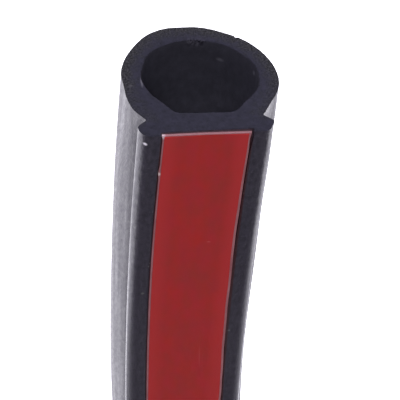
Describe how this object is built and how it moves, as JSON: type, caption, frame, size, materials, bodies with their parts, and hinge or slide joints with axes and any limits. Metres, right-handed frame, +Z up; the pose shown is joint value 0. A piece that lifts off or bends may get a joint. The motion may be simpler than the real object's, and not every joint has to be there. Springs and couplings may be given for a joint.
{
  "type": "hollow rubber seal strip",
  "caption": "Bowed one-metre length of black hollow D-section sponge rubber seal with red-lined self-adhesive tape along its base.",
  "frame": {"origin": "middle of the box's underside, on the floor that the strip lies on", "axes": "+Z up, from the round bulb to the taped base; +Y out of the near cut end, +X out of the far cut end"},
  "size_m": [0.6436, 0.6436, 0.0133],
  "materials": {
    "sponge_rubber": "satin",
    "tape": "satin",
    "liner": "satin"
  },
  "bodies": {
    "root": {"seal_profile": "sponge_rubber", "adhesive_tape": "tape", "release_liner": "liner"}
  },
  "joints": []
}
